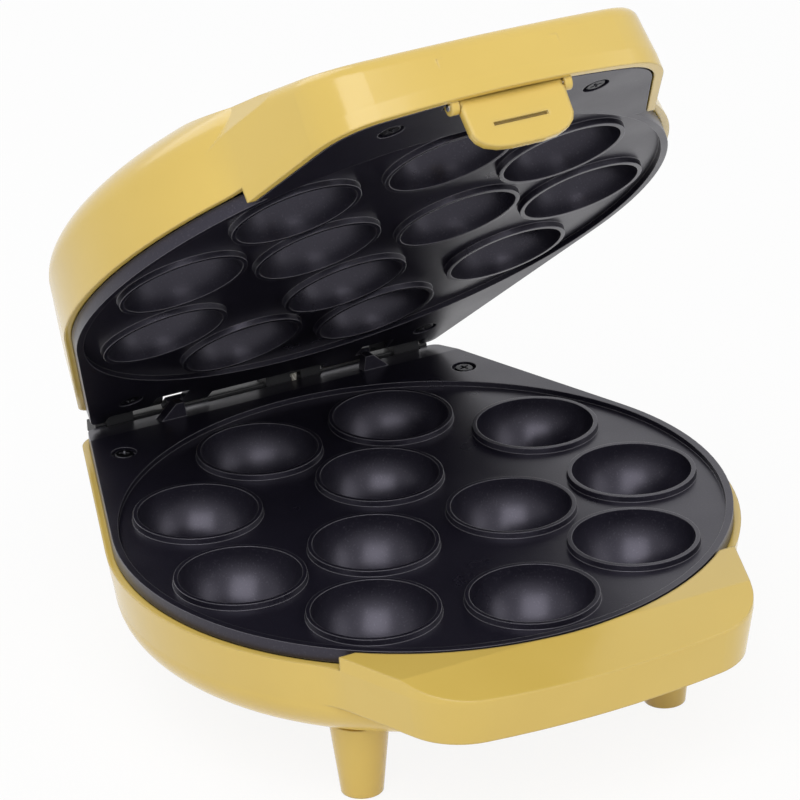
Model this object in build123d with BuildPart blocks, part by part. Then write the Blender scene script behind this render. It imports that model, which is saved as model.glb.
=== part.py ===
from build123d import *
from math import asin, cos, pi, radians, sin, tan
import os

os.makedirs("parts", exist_ok=True)

# A countertop cooker with a hinged lid and twelve round cups in each half.
# The origin is on the surface that the feet stand on, below the middle of the open maker.
# Pieces are drawn with y counted from the centre of the ring of cups and moved as they are written.
# +X is the user's right, +Y runs back to the hinge and +Z is up.
# The lid's pieces are drawn closed and then opened together to the rest angle.

# Heights of the two halves
seam_height = 62.0
closing_gap = 0.5
lid_seam_height = seam_height + closing_gap
rim_setback = 5.2
ring_to_middle = 4.556

# Plan outline shared by both halves
plate_radius = 104.0
housing_radius = 106.5
flank_angle = 19.0
plate_rear = 116.8
lower_strip_rear = 118.4
upper_strip_rear = 122.4
strip_notches = [(0.0, 45.4), (51.55, 22.3), (-51.55, 22.3)]
housing_rear = 121.2
plate_corner = 4.0
housing_corner = 10.0
wall = 2.6

# Nose at the front of each half
nose_root_half_width = 77.0
nose_root_front = 69.0
nose_tip_half_width = 57.5
nose_side_front = 112.0
nose_blend_radius = 26.0
nose_end_front = 80.5
base_nose_front = 126.3
base_nose_bow = 6.0
base_nose_corner = 25.0
lid_nose_front = 134.0
lid_nose_bow = 8.0
lid_nose_corner = 24.0
lid_nose_edge = 5.0
base_nose = (base_nose_front, base_nose_bow, base_nose_corner)
lid_nose = (lid_nose_front, lid_nose_bow, lid_nose_corner)

# Lower housing
base_draft = 9.0
base_nose_depth = 20.5
base_floor_depth = 36.0
base_round_reach = 20.0
nose_top_drop = 0.4
nose_roof_depth = 8.4
nose_plate_gap = 0.6
leg_spots = [(57.0, -61.0), (-57.0, -61.0), (52.0, 76.0), (-52.0, 76.0)]
leg_top_radius = 10.0
leg_foot_radius = 7.0
leg_core_radius = 6.0
leg_core_depth = 18.0
pad_radius = 4.6
pad_proud = 0.6
pad_seat = 1.4

# Upper housing
lid_draft = 5.0
lid_wall_height = 24.0
lid_crown_height = 44.0
lid_round_reach = 45.0
ramp_angle = 14.0
ramp_foot_height = 19.2
ramp_foot_front = 132.5
nose_side_lean = 40.0

# How both housings round over from the wall to the floor or crown
rounding_steps = 5
rear_share = 0.7
corner_growth = 0.3

# Hinge
hinge_y = 120.0
hinge_height = seam_height + 6.3
lid_open_angle = 42.0
knuckle_radius = 4.6
knuckle_room = 2.2
pin_radius = 2.0
pin_fit = 0.02
pin_running_fit = 0.06
outer_ear = (52.0, 62.0)
inner_ear = (41.0, 51.4)
washer_thickness = 0.4
pin_head_radius = 3.4
pin_head_thickness = 1.2
conduit_ear = (0.3, 22.0)
conduit_radius = 2.6
conduit_x = 12.0
duct_radius = 2.2
duct_base_drop = 16.0
duct_lid_rise = 12.0
web_front = 117.4
web_back = 125.4

# Cast plates and their cups
plate_thickness = 4.8
recess_radius = 101.5
recess_depth = 2.0
cup_radius = 20.3
cup_shell = 2.0
cup_shell_start = 3.2
lip_radius = 21.8
lip_draft = 8.0
outer_ring = 75.0
outer_cups = 9
inner_ring = 30.0
inner_cups = 3
rear_bevel_front = 107.5
rear_bevel_drop = 1.2
plate_tab = (12.0, 8.0, 1.8)
plate_tab_x = 25.0
rear_flange_front = 111.5
rear_flange_thickness = 2.0
lug_front = 108.6
lug_rear = 112.8
lug_profile = [(46.0, -1.0), (39.0, 5.3), (36.0, 5.3), (35.0, -1.0)]
lug_room = 0.8

# Heating elements below and above the plates
element_ring = 52.5
element_radius = 3.2
element_depth = 13.0
rib_half_width = 3.4
element_gap_angle = 20.0
element_bend = 6.0
element_tail = 2.0
terminal_radius = 1.2
terminal_length = 5.0
clamp_angles = [50.0, 170.0, 290.0]
clamp_inner = 41.5
clamp_outer = 63.5
clamp_width = 8.0
clamp_post_rings = (45.0, 60.0)
clamp_thickness = 1.0
clamp_post_radius = 3.5

# Heat shields
shield_depth = 27.5
shield_thickness = 0.8
shield_floor_radius = 84.0
shield_rim_radius = 97.5
shield_rim_depth = 10.0
shield_post_ring = 62.0
shield_post_angles = [0.0, 110.0, 250.0]
shield_post_radius = 4.0
shield_gate_width = 64.0

# Screws
plate_screw_spots_lower = [(67.0, 92.4), (-67.0, 92.4)]
plate_screw_spots_upper = [(36.0, -116.5), (-36.0, -116.5), (58.0, 104.0), (-58.0, 104.0)]
screw_radius = 1.45
screw_hole_radius = 1.5
screw_head_radius = 3.4
screw_head_thickness = 1.4
screw_sink = 1.6
screw_sink_radius = 4.4
plate_screw_length = 12.0
plate_post_radius = 4.6
small_head_radius = 2.6
small_head_thickness = 1.3
clamp_screw_length = 7.0

# Thermostat, fuse, terminals and gland
thermostat_radius = 8.0
thermostat_height = 6.0
thermostat_depth = 9.0
thermostat_post_y = -15.0
thermostat_leg_x = 4.0
fuse_radius = 2.2
fuse_length = 14.0
fuse_spot = (-46.0, 103.0)
terminal_block_size = (30.0, 10.0, 11.0)
terminal_block_y = 105.5
terminal_block_depth = 27.0
lid_block_y = 87.0
lid_block_depth = 29.5
gland_x = -30.0
gland_depth = 13.0
gland_radius = 4.6
gland_bore = 3.0
lead_radius = 1.1
lead_depth = 24.9

# Lamps on the crown
lamp_x = 10.0
lamp_y = -24.0
lens_radius = 4.5
lens_fit = 0.1
lamp_holder_length = 12.0

# Latch under the lid's nose
latch_half_width = 18.0
latch_pivot_y = -128.4
latch_pivot_drop = 0.6
latch_barrel_radius = 1.9
latch_pin_radius = 1.2
latch_ear_gap = 0.4
latch_ear_width = 2.6
latch_ear_radius = 2.7
latch_front = -130.4
latch_back = -127.6
latch_hook_half_width = 8.0
latch_hook = [(-128.6, -10.5), (-126.0, -12.0), (-125.6, -13.0), (-126.0, -14.2), (-128.6, -16.4)]
latch_groove = (19.0, 1.2, 0.7)
latch_groove_drop = 9.5
latch_slot_front = 125.2
latch_slot_room = 4.0

hinge_axis = Axis((0, hinge_y, hinge_height), (1, 0, 0))
cup_spots = []
for ring, count, first in ((outer_ring, outer_cups, -90.0), (inner_ring, inner_cups, 90.0)):
    for index in range(count):
        bearing = radians(first + 360.0 * index / count)
        cup_spots.append((ring * cos(bearing), ring * sin(bearing)))


def open_lid(shape):
    return shape.rotate(hinge_axis, -lid_open_angle)


def write(part, name):
    placed = Pos(0, -ring_to_middle, 0) * part
    placed.label = name
    export_step(placed, "parts/" + name + ".step")


# Planes at a depth below the lower seam, or a height above the lid's seam
def below(depth):
    return Plane.XY.offset(seam_height - depth)


def above(rise):
    return Plane.XY.offset(lid_seam_height + rise)


def polar(radius, angle):
    return radius * cos(radians(angle)), radius * sin(radians(angle))


# Outline of one half without its nose: a round front and flanks that close in to the rear
def body_outline(radius, rear, corner):
    tangent_x = radius * cos(radians(flank_angle))
    tangent_y = radius * sin(radians(flank_angle))
    rear_x = tangent_x - (rear - tangent_y) * tan(radians(flank_angle))
    with BuildSketch(mode=Mode.PRIVATE) as outline:
        with BuildLine():
            CenterArc((0, 0), radius, 180 - flank_angle, 180 + 2 * flank_angle)
            Polyline(
                (tangent_x, tangent_y), (rear_x, rear), (-rear_x, rear), (-tangent_x, tangent_y)
            )
        make_face()
        fillet(outline.vertices().group_by(Axis.Y)[-1], corner)
    return outline.sketch


# The nose alone: a grip that narrows to a gently bowed front
def nose_profile(nose, inset):
    front, bow, corner = nose
    root_x = nose_root_half_width - inset
    tip_x = nose_tip_half_width - inset
    corner_front = front - bow - inset
    with BuildSketch(mode=Mode.PRIVATE) as profile:
        with BuildLine():
            Polyline(
                (tip_x, -corner_front),
                (root_x, -nose_root_front),
                (-root_x, -nose_root_front),
                (-tip_x, -corner_front),
            )
            ThreePointArc((-tip_x, -corner_front), (0, inset - front), (tip_x, -corner_front))
        make_face()
        fillet(profile.vertices().group_by(Axis.Y)[0], corner - inset)
    return profile.sketch


# Outline of one half with its nose blended in
def nose_outline(radius, rear, corner, nose, inset):
    with BuildSketch(mode=Mode.PRIVATE) as outline:
        add(body_outline(radius - inset, rear - inset, corner))
        add(nose_profile(nose, inset))
        roots = outline.vertices().filter_by_position(
            Axis.Y, -nose_side_front + 10, -nose_root_front - 1
        )
        fillet(roots, nose_blend_radius)
    return outline.sketch


# Heights and sizes of the sections where a wall rounds over to the floor or the crown
def rounding(radius, rear, corner, reach, height):
    sections = []
    for step in range(rounding_steps + 1):
        angle = radians(90.0 * step / rounding_steps)
        inset = reach * (1 - cos(angle))
        size = (radius - inset, rear - rear_share * inset, corner + corner_growth * inset)
        sections.append((height * sin(angle), size))
    return sections


hinge_plane = Plane(origin=(0, hinge_y, hinge_height), x_dir=(0, 1, 0), z_dir=(1, 0, 0))
# Side views of the hinge webs: y, and z above the lower seam, with the lid closed
base_web = [
    (web_front, 6.3), (web_back, 6.3), (web_back, -6.0), (121.0, -17.0), (118.6, -17.0), (web_front, -6.0)
]
lid_web = [(115.5, 6.3), (126.0, 6.3), (126.0, 12.0), (121.2, 22.0), (118.4, 22.0), (116.0, 10.0)]
stop_shelf = [(119.2, -1.1), (126.0, -1.1), (126.0, -4.0), (121.0, -13.0), (119.2, -13.0)]


base_band = base_nose_depth - rim_setback
base_shrink = base_band * tan(radians(base_draft))
lid_band = lid_wall_height - rim_setback
lid_shrink = lid_band * tan(radians(lid_draft))
ramp_tilt = (0, -sin(radians(ramp_angle)), cos(radians(ramp_angle)))
ramp = Plane(
    origin=(0, -ramp_foot_front, lid_seam_height + ramp_foot_height), x_dir=(1, 0, 0), z_dir=ramp_tilt
)

# Space inside the lower housing, less the posts that stand in it
with BuildPart() as base_space:
    with BuildSketch(below(rim_setback)):
        add(body_outline(housing_radius - wall, housing_rear - wall, housing_corner - wall))
    extrude(amount=-base_band, taper=base_draft)
    with BuildSketch(below(rim_setback)):
        add(body_outline(housing_radius - wall, housing_rear - wall, housing_corner - wall))
    extrude(amount=rim_setback)
    with BuildSketch(below(nose_roof_depth)):
        add(nose_outline(housing_radius, housing_rear, housing_corner, base_nose, wall + 0.6))
    extrude(amount=nose_roof_depth + wall - base_nose_depth, taper=base_draft)
with BuildPart() as base_bowl_space:
    inner = rounding(
        housing_radius - wall - base_shrink,
        housing_rear - wall - base_shrink,
        housing_corner - wall - base_shrink,
        base_round_reach,
        base_floor_depth - wall - base_nose_depth,
    )
    for depth, (radius, rear, corner) in inner:
        with BuildSketch(below(base_nose_depth + depth)):
            add(body_outline(radius, rear, corner))
    loft()
with BuildPart() as base_posts:
    with BuildSketch(below(base_floor_depth)):
        with Locations(*plate_screw_spots_lower):
            Circle(plate_post_radius)
    extrude(amount=base_floor_depth - plate_thickness)
    with BuildSketch(below(base_floor_depth)):
        with Locations(*[polar(shield_post_ring, angle) for angle in shield_post_angles]):
            Circle(shield_post_radius)
    extrude(amount=base_floor_depth - shield_depth - shield_thickness)
    with BuildSketch(below(base_floor_depth)):
        with Locations((-10, terminal_block_y), (10, terminal_block_y)):
            Circle(3.0)
    extrude(amount=base_floor_depth - terminal_block_depth)


# Ducts that lead from the hinge's conduit down into the base and up into the lid
with BuildPart() as base_duct:
    with BuildSketch(hinge_plane):
        Circle(conduit_radius)
    extrude(amount=conduit_x + duct_radius + 1)
    with BuildSketch(Plane.XY.offset(hinge_height)):
        with Locations((conduit_x, hinge_y)):
            Circle(duct_radius)
    extrude(amount=-duct_base_drop)
    with BuildSketch(Plane.XY.offset(hinge_height - duct_base_drop)):
        with Locations((conduit_x, hinge_y - 2)):
            Rectangle(2 * duct_radius, 8)
    extrude(amount=duct_base_drop - knuckle_radius)
with BuildPart() as lid_duct:
    with BuildSketch(hinge_plane):
        Circle(conduit_radius)
    extrude(amount=-conduit_x - duct_radius - 1)
    with BuildSketch(Plane.XY.offset(hinge_height)):
        with Locations((-conduit_x, hinge_y)):
            Circle(duct_radius)
    extrude(amount=duct_lid_rise)
    with BuildSketch(Plane.XY.offset(hinge_height + knuckle_radius)):
        with Locations((-conduit_x, hinge_y - 3)):
            Rectangle(2 * duct_radius, 6)
    extrude(amount=duct_lid_rise - knuckle_radius)

# Hinge ears of the base with the stop shelves behind the lid's ears
with BuildPart() as base_hinge_ears:
    for side in (-1, 1):
        with BuildSketch(Plane.YZ.offset(side * outer_ear[0])):
            with BuildLine():
                Polyline(*[(y, seam_height + z) for y, z in base_web], close=True)
            make_face()
            with Locations((hinge_y, hinge_height)):
                Circle(knuckle_radius)
        extrude(amount=side * (outer_ear[1] - outer_ear[0]))
        with BuildSketch(Plane.YZ.offset(side * inner_ear[0])):
            with BuildLine():
                Polyline(*[(y, seam_height + z) for y, z in stop_shelf], close=True)
            make_face()
        extrude(amount=side * (outer_ear[0] - inner_ear[0]))
        with BuildSketch(hinge_plane.offset(side * outer_ear[0])):
            Circle(pin_radius + pin_fit)
        extrude(amount=side * (outer_ear[1] - outer_ear[0]), mode=Mode.SUBTRACT)

# Ear of the base that carries the lead from the hinge down into the housing
with BuildPart() as base_conduit_ear:
    with BuildSketch(Plane.YZ.offset(conduit_ear[0])):
        with BuildLine():
            Polyline(*[(y, seam_height + z) for y, z in base_web], close=True)
        make_face()
        with Locations((hinge_y, hinge_height)):
            Circle(knuckle_radius)
    extrude(amount=conduit_ear[1] - conduit_ear[0])
    add(base_duct.part, mode=Mode.SUBTRACT)

with BuildPart() as base_housing:
    # The band that carries the nose, drafted in towards the nose's underside
    with BuildSketch(below(rim_setback)):
        add(nose_outline(housing_radius, housing_rear, housing_corner, base_nose, 0))
    extrude(amount=-base_band, taper=base_draft)
    # The bowl below it rounds over to the floor
    outer = rounding(
        housing_radius - base_shrink,
        housing_rear - base_shrink,
        housing_corner - base_shrink,
        base_round_reach,
        base_floor_depth - base_nose_depth,
    )
    for depth, (radius, rear, corner) in outer:
        with BuildSketch(below(base_nose_depth + depth)):
            add(body_outline(radius, rear, corner))
    loft()
    # Raised top of the nose, level with the plate's rim and falling to the front
    with BuildSketch(below(rim_setback)):
        add(nose_outline(housing_radius, housing_rear, housing_corner, base_nose, 0))
        with Locations((0, 150 - nose_end_front)):
            Rectangle(300, 300, mode=Mode.SUBTRACT)
        Circle(plate_radius + nose_plate_gap, mode=Mode.SUBTRACT)
    extrude(amount=rim_setback - nose_top_drop)
    slope = (rim_setback - nose_top_drop) / (base_nose_front - plate_radius)
    with BuildSketch(Plane.YZ):
        with BuildLine():
            Polyline(
                (-plate_radius, seam_height - nose_top_drop),
                (-plate_radius - 30, seam_height - nose_top_drop - 30 * slope),
                (-plate_radius - 30, seam_height + 5),
                (-plate_radius, seam_height + 5),
                close=True,
            )
        make_face()
    extrude(amount=100, both=True, mode=Mode.SUBTRACT)
    # Legs
    for x, y in leg_spots:
        with BuildSketch(Plane.XY.offset(pad_proud)):
            with Locations((x, y)):
                Circle(leg_foot_radius)
        with BuildSketch(below(base_floor_depth - 1)):
            with Locations((x, y)):
                Circle(leg_top_radius)
        loft()
    add(base_space.part - base_posts.part, mode=Mode.SUBTRACT)
    add(base_bowl_space.part - base_posts.part, mode=Mode.SUBTRACT)
    with BuildSketch(below(base_floor_depth - wall)):
        with Locations(*leg_spots):
            Circle(leg_core_radius)
    extrude(amount=-leg_core_depth, mode=Mode.SUBTRACT)
    with BuildSketch(Plane.XY):
        with Locations(*leg_spots):
            Circle(pad_radius + 0.1)
    extrude(amount=pad_proud + pad_seat, mode=Mode.SUBTRACT)
    # Seats for the hinge ears in the rear wall
    add(base_hinge_ears.part, mode=Mode.SUBTRACT)
    add(base_conduit_ear.part, mode=Mode.SUBTRACT)
    add(base_duct.part, mode=Mode.SUBTRACT)
    # Slots that hold the plate's front tabs
    tab_width, tab_reach, tab_thickness = plate_tab
    with BuildSketch(below(nose_roof_depth + 0.1)):
        with Locations((plate_tab_x, -plate_radius), (-plate_tab_x, -plate_radius)):
            Rectangle(tab_width + 1, 2 * tab_reach - 7)
    extrude(amount=nose_roof_depth - plate_thickness + tab_thickness + 0.6, mode=Mode.SUBTRACT)
    # Screw holes in the posts, and the bore for the cord's gland
    with BuildSketch(below(plate_thickness)):
        with Locations(*plate_screw_spots_lower):
            Circle(screw_hole_radius)
    extrude(amount=-plate_screw_length, mode=Mode.SUBTRACT)
    with BuildSketch(below(shield_depth + shield_thickness)):
        with Locations(*[polar(shield_post_ring, angle) for angle in shield_post_angles]):
            Circle(screw_hole_radius)
    extrude(amount=-4.4, mode=Mode.SUBTRACT)
    with BuildSketch(Plane.XZ.offset(-housing_rear - 1)):
        with Locations((gland_x, seam_height - gland_depth)):
            Circle(gland_radius)
    extrude(amount=8, mode=Mode.SUBTRACT)


# Plate with its cups, drawn for the lower half: the lid's plate is the same turned over
def cast_plate(profile, screws, thermostat=False):
    with BuildPart(mode=Mode.PRIVATE) as plate:
        with BuildSketch(below(plate_thickness)):
            add(profile)
        extrude(amount=plate_thickness)
        with BuildSketch(below(0)):
            Circle(recess_radius)
        extrude(amount=-recess_depth, mode=Mode.SUBTRACT)
        # Lips that stand round the cups
        for x, y in cup_spots:
            with BuildSketch(below(recess_depth)):
                with Locations((x, y)):
                    Circle(lip_radius + recess_depth * tan(radians(lip_draft)))
            extrude(amount=recess_depth, taper=lip_draft)
        # Bowls below the plate
        with Locations(*[(x, y, seam_height) for x, y in cup_spots]):
            Sphere(
                cup_radius + cup_shell,
                arc_size1=-90,
                arc_size2=-asin(cup_shell_start / (cup_radius + cup_shell)) * 180 / pi,
                align=(Align.CENTER, Align.CENTER, Align.NONE),
            )
        # Rib that meets the heating element
        with BuildSketch(below(element_depth - element_radius - 0.1)):
            Circle(element_ring + rib_half_width)
            Circle(element_ring - rib_half_width, mode=Mode.SUBTRACT)
            with Locations((0, element_ring)):
                Rectangle(38, 14, mode=Mode.SUBTRACT)
        extrude(amount=element_depth - element_radius - plate_thickness)
        # Posts for the clamps and the thermostat
        with BuildSketch(below(element_depth + element_radius + 0.1)):
            for ring in clamp_post_rings:
                with Locations(*[polar(ring, angle) for angle in clamp_angles]):
                    Circle(clamp_post_radius)
        extrude(amount=element_depth + element_radius + 0.5 - plate_thickness)
        if thermostat:
            with BuildSketch(below(thermostat_depth + thermostat_height)):
                with Locations((0, thermostat_post_y)):
                    Circle(3.0)
            extrude(amount=thermostat_depth + thermostat_height - plate_thickness)
            with BuildSketch(below(thermostat_depth)):
                Circle(thermostat_radius)
            extrude(amount=thermostat_depth - plate_thickness)
        with Locations(*[(x, y, seam_height) for x, y in cup_spots]):
            Sphere(cup_radius, mode=Mode.SUBTRACT)
        # Screw holes, sunk for the heads
        with BuildSketch(below(0)):
            with Locations(*screws):
                Circle(screw_hole_radius)
        extrude(amount=-plate_thickness, mode=Mode.SUBTRACT)
        with BuildSketch(below(0)):
            with Locations(*screws):
                Circle(screw_sink_radius)
        extrude(amount=-screw_sink, mode=Mode.SUBTRACT)
        with BuildSketch(below(element_depth + element_radius + 0.1)):
            for ring in clamp_post_rings:
                with Locations(*[polar(ring, angle) for angle in clamp_angles]):
                    Circle(screw_hole_radius)
        extrude(amount=clamp_screw_length, mode=Mode.SUBTRACT)
    return plate.part


with BuildSketch() as lower_plate_profile:
    add(body_outline(plate_radius, lower_strip_rear, plate_corner))
    for x, width in strip_notches:
        with Locations((x, plate_rear + 10)):
            Rectangle(width, 20, mode=Mode.SUBTRACT)
with BuildPart() as lower_plate:
    add(cast_plate(lower_plate_profile.sketch, plate_screw_spots_lower, thermostat=True))
    # The rear edge falls away towards the hinge
    with BuildSketch(Plane.YZ):
        with BuildLine():
            Polyline(
                (rear_bevel_front, seam_height),
                (lower_strip_rear + 1, seam_height - rear_bevel_drop),
                (lower_strip_rear + 1, seam_height + 1),
                (rear_bevel_front, seam_height + 1),
                close=True,
            )
        make_face()
    extrude(amount=100, both=True, mode=Mode.SUBTRACT)
    with BuildSketch(below(plate_thickness)):
        with Locations((plate_tab_x, 1 - plate_radius), (-plate_tab_x, 1 - plate_radius)):
            Rectangle(tab_width, 2 * tab_reach - 8)
    extrude(amount=tab_thickness)
    with BuildSketch(below(thermostat_depth + thermostat_height)):
        with Locations((0, thermostat_post_y)):
            Circle(screw_hole_radius)
    extrude(amount=clamp_screw_length, mode=Mode.SUBTRACT)
    # Gusset lugs that steady the lid at the hinge
    for side in (-1, 1):
        with BuildSketch(Plane.XZ.offset(-lug_rear)):
            with BuildLine():
                Polyline(*[(side * x, seam_height + z) for x, z in lug_profile], close=True)
            make_face()
        extrude(amount=lug_rear - lug_front)


# Edge of the latch seen from the front: distance in from its side, and height against the lid's seam
latch_edge = [
    (1.5, -0.9),
    (0.0, -2.4),
    (0.3, -11.2),
    (1.4, -13.6),
    (3.6, -15.5),
    (7.5, -16.9),
    (12.5, -17.5),
]


def latch_outline(side):
    points = []
    for x, z in latch_edge:
        points.append((side * (latch_half_width - x), lid_seam_height + z))
    return points


# Turns a piece drawn in the lower half over into the closed lid
def turn_over(shape):
    middle = Plane.XY.offset(seam_height + closing_gap / 2)
    return mirror(shape, about=middle, mode=Mode.PRIVATE)


# Space inside the lid, less the posts that stand in it
upper_nose_room = nose_outline(housing_radius, housing_rear, housing_corner, lid_nose, wall)
with BuildPart() as lid_space:
    with BuildSketch(above(0)):
        add(body_outline(housing_radius - wall, housing_rear - wall, housing_corner - wall))
        add(upper_nose_room)
    extrude(amount=rim_setback)
    with BuildSketch(above(rim_setback)):
        add(upper_nose_room)
    extrude(amount=lid_band, taper=lid_draft)
    split(bisect_by=ramp.offset(-wall), keep=Keep.BOTTOM)
with BuildPart() as lid_dome_space:
    inner = rounding(
        housing_radius - wall - lid_shrink,
        housing_rear - wall - lid_shrink,
        housing_corner - wall - lid_shrink,
        lid_round_reach,
        lid_crown_height - wall - lid_wall_height,
    )
    for rise, (radius, rear, corner) in inner:
        with BuildSketch(above(lid_wall_height + rise)):
            add(body_outline(radius, rear, corner))
    loft()
    split(bisect_by=ramp.offset(-wall), keep=Keep.BOTTOM)
with BuildPart() as lid_nose_space:
    with BuildSketch(above(lid_wall_height)):
        add(nose_profile(lid_nose, wall + lid_shrink))
    extrude(amount=lid_crown_height - wall - lid_wall_height - 2, taper=nose_side_lean)
    split(bisect_by=ramp.offset(-wall), keep=Keep.BOTTOM)

# The nose over the band: a ramp with a rounded edge, and sides that lean in towards it
side_run = Vector(
    nose_root_half_width - nose_tip_half_width, lid_nose_front - lid_nose_bow - nose_root_front
)
with BuildPart() as lid_nose_block:
    with BuildSketch(above(rim_setback)):
        add(nose_outline(housing_radius, housing_rear, housing_corner, lid_nose, 0))
        with Locations((0, 100 - nose_root_front)):
            Rectangle(300, 200, mode=Mode.SUBTRACT)
    extrude(amount=lid_crown_height, taper=lid_draft)
    split(bisect_by=ramp, keep=Keep.BOTTOM)
    ramp_face = lid_nose_block.faces().sort_by(Axis.Z)[-1]
    ramp_edges = ramp_face.edges().filter_by(lambda edge: edge.center().Y < -nose_root_front - 3)
    fillet(ramp_edges, lid_nose_edge)
    lean_height = above(lid_wall_height).origin.Z
    for side in (-1, 1):
        lean = Plane(
            origin=(side * (nose_root_half_width - lid_shrink), -nose_root_front, lean_height),
            x_dir=(-side * side_run.X, -side_run.Y, 0),
            z_dir=(
                side * cos(radians(nose_side_lean)) * side_run.Y,
                -cos(radians(nose_side_lean)) * side_run.X,
                sin(radians(nose_side_lean)) * side_run.length,
            ),
        )
        split(bisect_by=lean, keep=Keep.BOTTOM)

with BuildPart() as lid_outer:
    # The band round the plate
    with BuildSketch(above(rim_setback)):
        add(body_outline(housing_radius, housing_rear, housing_corner))
    extrude(amount=lid_band, taper=lid_draft)
    # The dome over it
    outer = rounding(
        housing_radius - lid_shrink,
        housing_rear - lid_shrink,
        housing_corner - lid_shrink,
        lid_round_reach,
        lid_crown_height - lid_wall_height,
    )
    for rise, (radius, rear, corner) in outer:
        with BuildSketch(above(lid_wall_height + rise)):
            add(body_outline(radius, rear, corner))
    loft()
    split(bisect_by=ramp, keep=Keep.BOTTOM)
    add(lid_nose_block.part)
    # Skirt of the nose, which reaches down to the seam
    with BuildSketch(above(0)):
        add(nose_outline(housing_radius, housing_rear, housing_corner, lid_nose, 0))
        with Locations((0, 150 - nose_end_front)):
            Rectangle(300, 300, mode=Mode.SUBTRACT)
        Circle(plate_radius + nose_plate_gap, mode=Mode.SUBTRACT)
    extrude(amount=rim_setback)

with BuildPart() as lid_posts:
    with BuildSketch(above(plate_thickness)):
        with Locations(*plate_screw_spots_upper):
            Circle(plate_post_radius)
    extrude(amount=lid_crown_height)
    with BuildSketch(above(shield_depth + shield_thickness)):
        with Locations(*[polar(shield_post_ring, angle) for angle in shield_post_angles]):
            Circle(shield_post_radius)
    extrude(amount=lid_crown_height)
    with BuildSketch(above(lid_block_depth + terminal_block_size[2])):
        with Locations((-10, lid_block_y), (10, lid_block_y)):
            Circle(3.0)
    extrude(amount=lid_crown_height)

# Latch ears, seen from the side: y and z against the lid's seam
latch_pivot = (latch_pivot_y, lid_seam_height - latch_pivot_drop)
latch_spans = []
for start in (latch_half_width + latch_ear_gap, -latch_half_width - latch_ear_gap - latch_ear_width):
    latch_spans.append((start, start + latch_ear_width))

# The lid's hinge ears, and its ear for the lead
with BuildPart() as lid_hinge_ears_closed:
    for side in (-1, 1):
        with BuildSketch(Plane.YZ.offset(side * inner_ear[0])):
            with BuildLine():
                Polyline(*[(y, seam_height + z) for y, z in lid_web], close=True)
            make_face()
            with Locations((hinge_y, hinge_height)):
                Circle(knuckle_radius)
        extrude(amount=side * (inner_ear[1] - inner_ear[0]))
        with BuildSketch(hinge_plane.offset(side * inner_ear[0])):
            Circle(pin_radius + pin_running_fit)
        extrude(amount=side * (inner_ear[1] - inner_ear[0]), mode=Mode.SUBTRACT)
with BuildPart() as lid_conduit_ear_closed:
    with BuildSketch(Plane.YZ.offset(-conduit_ear[1])):
        with BuildLine():
            Polyline(*[(y, seam_height + z) for y, z in lid_web], close=True)
        make_face()
        with Locations((hinge_y, hinge_height)):
            Circle(knuckle_radius)
    extrude(amount=conduit_ear[1] - conduit_ear[0])
    add(lid_duct.part, mode=Mode.SUBTRACT)

with BuildPart() as lid_housing_closed:
    add(lid_outer.part)
    add(lid_space.part - lid_posts.part, mode=Mode.SUBTRACT)
    add(lid_dome_space.part - lid_posts.part, mode=Mode.SUBTRACT)
    add(lid_nose_space.part - lid_posts.part, mode=Mode.SUBTRACT)
    # Room for the base's knuckles, and seats for the lid's own ears
    for start, end in (outer_ear, (-outer_ear[1], -outer_ear[0]), conduit_ear):
        with BuildSketch(hinge_plane.offset(start - 2)):
            Circle(knuckle_radius + knuckle_room)
        extrude(amount=end - start + 4, mode=Mode.SUBTRACT)
    for side in (-1, 1):
        with BuildSketch(hinge_plane.offset(side * (inner_ear[0] - 1))):
            Circle(pin_radius + 0.5)
        extrude(amount=side * (inner_ear[1] - inner_ear[0] + 1.2), mode=Mode.SUBTRACT)
    add(lid_hinge_ears_closed.part, mode=Mode.SUBTRACT)
    add(lid_conduit_ear_closed.part, mode=Mode.SUBTRACT)
    add(lid_duct.part, mode=Mode.SUBTRACT)
    # Ears for the latch behind the front wall
    for start, end in latch_spans:
        with BuildSketch(Plane.YZ.offset(start)):
            with BuildLine():
                Polyline(
                    (1.5 - lid_nose_front, lid_seam_height + 0.6),
                    (1.5 - lid_nose_front, lid_seam_height + 14),
                    (latch_pivot_y, lid_seam_height + 14),
                    (latch_pivot_y + latch_ear_radius, lid_seam_height + 6),
                    (latch_pivot_y + latch_ear_radius, latch_pivot[1]),
                    (latch_pivot_y - 1, latch_pivot[1]),
                    close=True,
                )
            make_face()
            with Locations(latch_pivot):
                Circle(latch_ear_radius)
        extrude(amount=end - start)
        with BuildSketch(Plane.YZ.offset(start)):
            with Locations(latch_pivot):
                Circle(latch_pin_radius + 0.02)
        extrude(amount=end - start, mode=Mode.SUBTRACT)
    # Windows for the two lamps in the crown
    with BuildSketch(above(lid_crown_height + 1)):
        with Locations((lamp_x, lamp_y), (-lamp_x, lamp_y)):
            Circle(lens_radius + lens_fit)
    extrude(amount=-wall - 2, mode=Mode.SUBTRACT)
    # Screw holes in the posts
    with BuildSketch(above(plate_thickness)):
        with Locations(*plate_screw_spots_upper):
            Circle(screw_hole_radius)
    extrude(amount=plate_screw_length, mode=Mode.SUBTRACT)
    with BuildSketch(above(shield_depth + shield_thickness)):
        with Locations(*[polar(shield_post_ring, angle) for angle in shield_post_angles]):
            Circle(screw_hole_radius)
    extrude(amount=6, mode=Mode.SUBTRACT)
with BuildPart() as lid_housing:
    add(open_lid(lid_housing_closed.part))
with BuildPart() as lid_hinge_ears:
    add(open_lid(lid_hinge_ears_closed.part))
with BuildPart() as lid_conduit_ear:
    add(open_lid(lid_conduit_ear_closed.part))

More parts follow.
